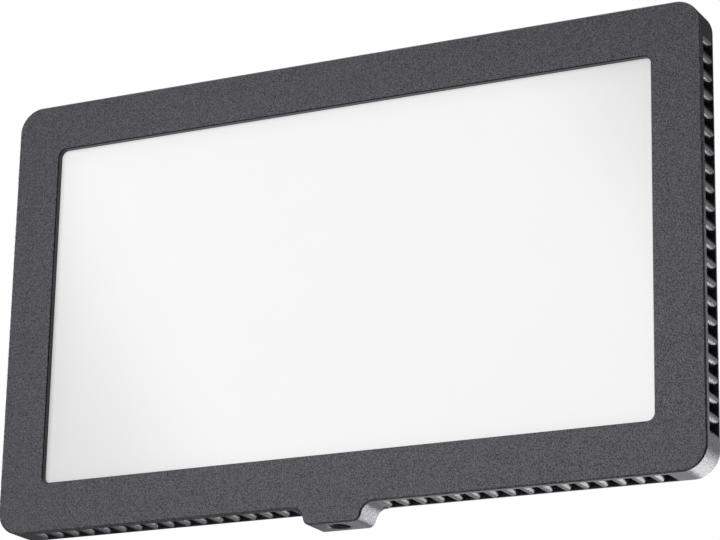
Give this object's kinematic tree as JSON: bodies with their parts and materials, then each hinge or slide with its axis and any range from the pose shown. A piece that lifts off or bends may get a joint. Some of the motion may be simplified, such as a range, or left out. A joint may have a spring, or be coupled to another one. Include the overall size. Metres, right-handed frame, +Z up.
{
  "type": "led light panel",
  "caption": "Slim edge-lit LED soft-light panel: opal window in a plain metal bezel, fluted sides, tripod boss below, display and buttons on the back.",
  "frame": {"origin": "centre of the tripod hole's mouth, on the underside of the boss", "axes": "+X along the panel's width to the right as seen from the lit side, +Y to the back, +Z up; the light leaves along -Y"},
  "size_m": [0.25, 0.0116, 0.1564],
  "materials": {
    "housing_anodised": "charcoal anodised, fine bead blast",
    "cover_anodised": "charcoal anodised, fine bead blast",
    "black_foam": "matt closed-cell foam",
    "opal_acrylic": "opal white, satin",
    "clear_acrylic": "clear, polished edges, printed dots",
    "white_film": "matt white",
    "led_board": "white solder resist on aluminium",
    "bare_aluminium": "rolled, bare",
    "battery_foil": "laminated foil pouch",
    "nickel_tab": "bare nickel strip",
    "circuit_board": "green solder resist",
    "black_plastic": "moulded, matt",
    "button_plastic": "moulded, fine satin",
    "lead_jacket": "silicone sleeve",
    "bright_steel": "bare stainless",
    "black_steel": "black oxide",
    "display_lens": "dark hard-coated lens"
  },
  "bodies": {
    "root": {"front_housing": "housing_anodised", "back_cover": "cover_anodised", "window_gasket": "black_foam", "diffuser_panel": "opal_acrylic", "light_guide_plate": "clear_acrylic", "reflector_sheet": "white_film", "led_strip_left": "led_board", "led_strip_right": "led_board", "mid_plate": "bare_aluminium", "battery_cell_left": "battery_foil", "battery_cell_right": "battery_foil", "battery_tab_left": "nickel_tab", "battery_tab_right": "nickel_tab", "main_board": "circuit_board", "display_module": "black_plastic", "led_lead_left": "lead_jacket", "led_lead_right": "lead_jacket", "charge_board": "circuit_board", "usb_socket": "bright_steel", "tripod_insert": "bright_steel", "display_window": "display_lens", "power_switch": "black_plastic", "mode_switch": "black_plastic", "minus_switch": "black_plastic", "plus_switch": "black_plastic", "cover_screw_1": "black_steel", "cover_screw_2": "black_steel", "cover_screw_3": "black_steel", "cover_screw_4": "black_steel", "cover_screw_5": "black_steel", "cover_screw_6": "black_steel", "cover_screw_7": "black_steel", "cover_screw_8": "black_steel", "mid_plate_screw_1": "black_steel", "mid_plate_screw_2": "black_steel", "mid_plate_screw_3": "black_steel", "mid_plate_screw_4": "black_steel"},
    "power_key": {"power_button": "button_plastic", "power_plunger": "black_plastic"},
    "mode_key": {"mode_button": "button_plastic", "mode_plunger": "black_plastic"},
    "minus_key": {"minus_button": "button_plastic", "minus_plunger": "black_plastic"},
    "plus_key": {"plus_button": "button_plastic", "plus_plunger": "black_plastic"}
  },
  "joints": [
    {"name": "power_press", "type": "slide", "parent": "root", "child": "power_key", "axis": [0, -1, 0], "range_m": [0, 0.0004], "stiffness_N_per_m": 800, "springref_m": -0.0002},
    {"name": "mode_press", "type": "slide", "parent": "root", "child": "mode_key", "axis": [0, -1, 0], "range_m": [0, 0.0004], "stiffness_N_per_m": 800, "springref_m": -0.0002},
    {"name": "minus_press", "type": "slide", "parent": "root", "child": "minus_key", "axis": [0, -1, 0], "range_m": [0, 0.0004], "stiffness_N_per_m": 800, "springref_m": -0.0002},
    {"name": "plus_press", "type": "slide", "parent": "root", "child": "plus_key", "axis": [0, -1, 0], "range_m": [0, 0.0004], "stiffness_N_per_m": 800, "springref_m": -0.0002}
  ]
}
